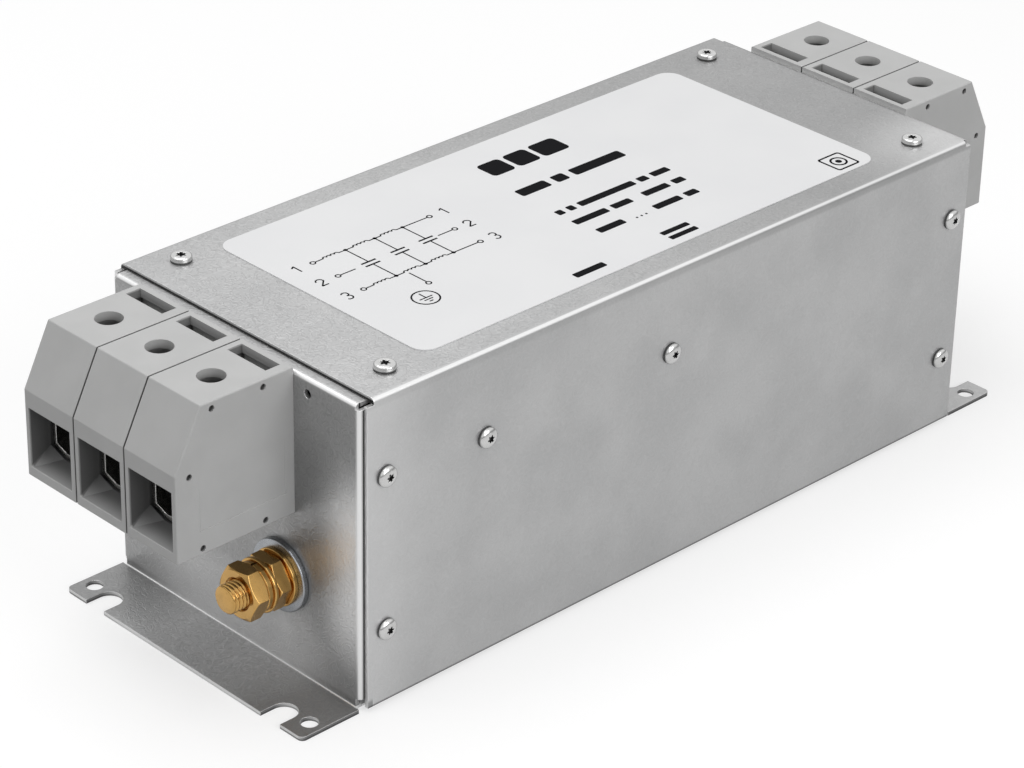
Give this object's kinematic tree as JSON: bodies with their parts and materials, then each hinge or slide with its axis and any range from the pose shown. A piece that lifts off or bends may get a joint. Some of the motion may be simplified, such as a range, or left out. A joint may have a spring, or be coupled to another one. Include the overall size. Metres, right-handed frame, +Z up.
{
  "type": "line filter",
  "caption": "Three phase line filter in a folded zinc plated case with screw clamp terminal blocks at both ends, slotted mounting feet and a brass earth stud.",
  "frame": {"origin": "centre of the footprint on the mounting surface", "axes": "+X along the case from the line end to the load end, +Z up from the mounting surface, -Y towards the side nearer the earth stud"},
  "size_m": [0.38, 0.1266, 0.1146],
  "materials": {
    "zinc_sheet": "zinc plated sheet, satin with fine crystal texture",
    "label_film": "printed off-white film",
    "screw_steel": "bright zinc plate",
    "terminal_plastic": "moulded grey, fine matt grain",
    "clamp_steel": "plated steel",
    "tinned_copper": "tin plated copper",
    "core_case": "moulded black",
    "insulator": "natural moulded",
    "tie_plastic": "natural nylon",
    "board": "solder mask",
    "brass": "turned, lightly aged",
    "capacitor_case": "moulded box",
    "capacitor_case_blue": "moulded box",
    "resistor": "cement body",
    "zinc_washer": "blue passivated zinc"
  },
  "bodies": {
    "case": {"bar_spacer_line": "insulator", "bar_spacer_load": "insulator", "base_tray": "zinc_sheet", "bleed_resistors": "resistor", "board_bridge": "zinc_sheet", "board_screws": "screw_steel", "board_spacers": "brass", "capacitor_board": "board", "core_cradle": "insulator", "core_ties": "tie_plastic", "cover": "zinc_sheet", "cover_bridge_screws": "screw_steel", "cover_end_screws": "screw_steel", "cover_top_screws": "screw_steel", "cradle_screws": "screw_steel", "earth_capacitor_1": "capacitor_case_blue", "earth_capacitor_2": "capacitor_case_blue", "earth_capacitor_3": "capacitor_case_blue", "earth_stud": "brass", "end_bracket_line": "zinc_sheet", "end_bracket_load": "zinc_sheet", "line_capacitor_1": "capacitor_case", "line_capacitor_2": "capacitor_case", "line_capacitor_3": "capacitor_case", "phase_bar_1": "tinned_copper", "phase_bar_2": "tinned_copper", "phase_bar_3": "tinned_copper", "phase_pillars": "brass", "pillar_nuts": "brass", "rating_label": "label_film", "ring_core_1": "core_case", "ring_core_2": "core_case", "ring_core_3": "core_case", "stud_brass_washer": "brass", "stud_cable_nut": "brass", "stud_cable_washer": "brass", "stud_clamp_nut": "brass", "stud_inner_washer": "zinc_washer", "stud_spring_washer": "brass", "stud_wide_washer": "zinc_washer", "terminal_housing_line_1": "terminal_plastic", "terminal_housing_line_2": "terminal_plastic", "terminal_housing_line_3": "terminal_plastic", "terminal_housing_load_1": "terminal_plastic", "terminal_housing_load_2": "terminal_plastic", "terminal_housing_load_3": "terminal_plastic"},
    "cage_line_1": {"clamp_cage_line_1": "clamp_steel"},
    "cage_line_2": {"clamp_cage_line_2": "clamp_steel"},
    "cage_line_3": {"clamp_cage_line_3": "clamp_steel"},
    "cage_load_1": {"clamp_cage_load_1": "clamp_steel"},
    "cage_load_2": {"clamp_cage_load_2": "clamp_steel"},
    "cage_load_3": {"clamp_cage_load_3": "clamp_steel"},
    "screw_line_1": {"clamp_screw_line_1": "clamp_steel"},
    "screw_line_2": {"clamp_screw_line_2": "clamp_steel"},
    "screw_line_3": {"clamp_screw_line_3": "clamp_steel"},
    "screw_load_1": {"clamp_screw_load_1": "clamp_steel"},
    "screw_load_2": {"clamp_screw_load_2": "clamp_steel"},
    "screw_load_3": {"clamp_screw_load_3": "clamp_steel"}
  },
  "joints": [
    {"name": "clamp_screw_line_1_turn", "type": "hinge", "parent": "case", "child": "screw_line_1", "pos_m": [-0.165, -0.017, 0.0975], "axis": [0, 0, -1], "range_deg": [0, 2880]},
    {"name": "clamp_cage_line_1_lift", "type": "slide", "parent": "case", "child": "cage_line_1", "axis": [0, 0, 1], "range_m": [0, 0.01]},
    {"name": "clamp_screw_line_2_turn", "type": "hinge", "parent": "case", "child": "screw_line_2", "pos_m": [-0.165, 0.008, 0.0975], "axis": [0, 0, -1], "range_deg": [0, 2880]},
    {"name": "clamp_cage_line_2_lift", "type": "slide", "parent": "case", "child": "cage_line_2", "axis": [0, 0, 1], "range_m": [0, 0.01]},
    {"name": "clamp_screw_line_3_turn", "type": "hinge", "parent": "case", "child": "screw_line_3", "pos_m": [-0.165, 0.033, 0.0975], "axis": [0, 0, -1], "range_deg": [0, 2880]},
    {"name": "clamp_cage_line_3_lift", "type": "slide", "parent": "case", "child": "cage_line_3", "axis": [0, 0, 1], "range_m": [0, 0.01]},
    {"name": "clamp_screw_load_1_turn", "type": "hinge", "parent": "case", "child": "screw_load_1", "pos_m": [0.165, -0.017, 0.0975], "axis": [0, 0, -1], "range_deg": [0, 2880]},
    {"name": "clamp_cage_load_1_lift", "type": "slide", "parent": "case", "child": "cage_load_1", "axis": [0, 0, 1], "range_m": [0, 0.01]},
    {"name": "clamp_screw_load_2_turn", "type": "hinge", "parent": "case", "child": "screw_load_2", "pos_m": [0.165, 0.008, 0.0975], "axis": [0, 0, -1], "range_deg": [0, 2880]},
    {"name": "clamp_cage_load_2_lift", "type": "slide", "parent": "case", "child": "cage_load_2", "axis": [0, 0, 1], "range_m": [0, 0.01]},
    {"name": "clamp_screw_load_3_turn", "type": "hinge", "parent": "case", "child": "screw_load_3", "pos_m": [0.165, 0.033, 0.0975], "axis": [0, 0, -1], "range_deg": [0, 2880]},
    {"name": "clamp_cage_load_3_lift", "type": "slide", "parent": "case", "child": "cage_load_3", "axis": [0, 0, 1], "range_m": [0, 0.01]}
  ],
  "couplings": [
    {"joint": "clamp_screw_line_1_turn", "follows": "clamp_cage_line_1_lift", "rad_per_m": 5026.5},
    {"joint": "clamp_screw_line_2_turn", "follows": "clamp_cage_line_2_lift", "rad_per_m": 5026.5},
    {"joint": "clamp_screw_line_3_turn", "follows": "clamp_cage_line_3_lift", "rad_per_m": 5026.5},
    {"joint": "clamp_screw_load_1_turn", "follows": "clamp_cage_load_1_lift", "rad_per_m": 5026.5},
    {"joint": "clamp_screw_load_2_turn", "follows": "clamp_cage_load_2_lift", "rad_per_m": 5026.5},
    {"joint": "clamp_screw_load_3_turn", "follows": "clamp_cage_load_3_lift", "rad_per_m": 5026.5}
  ]
}
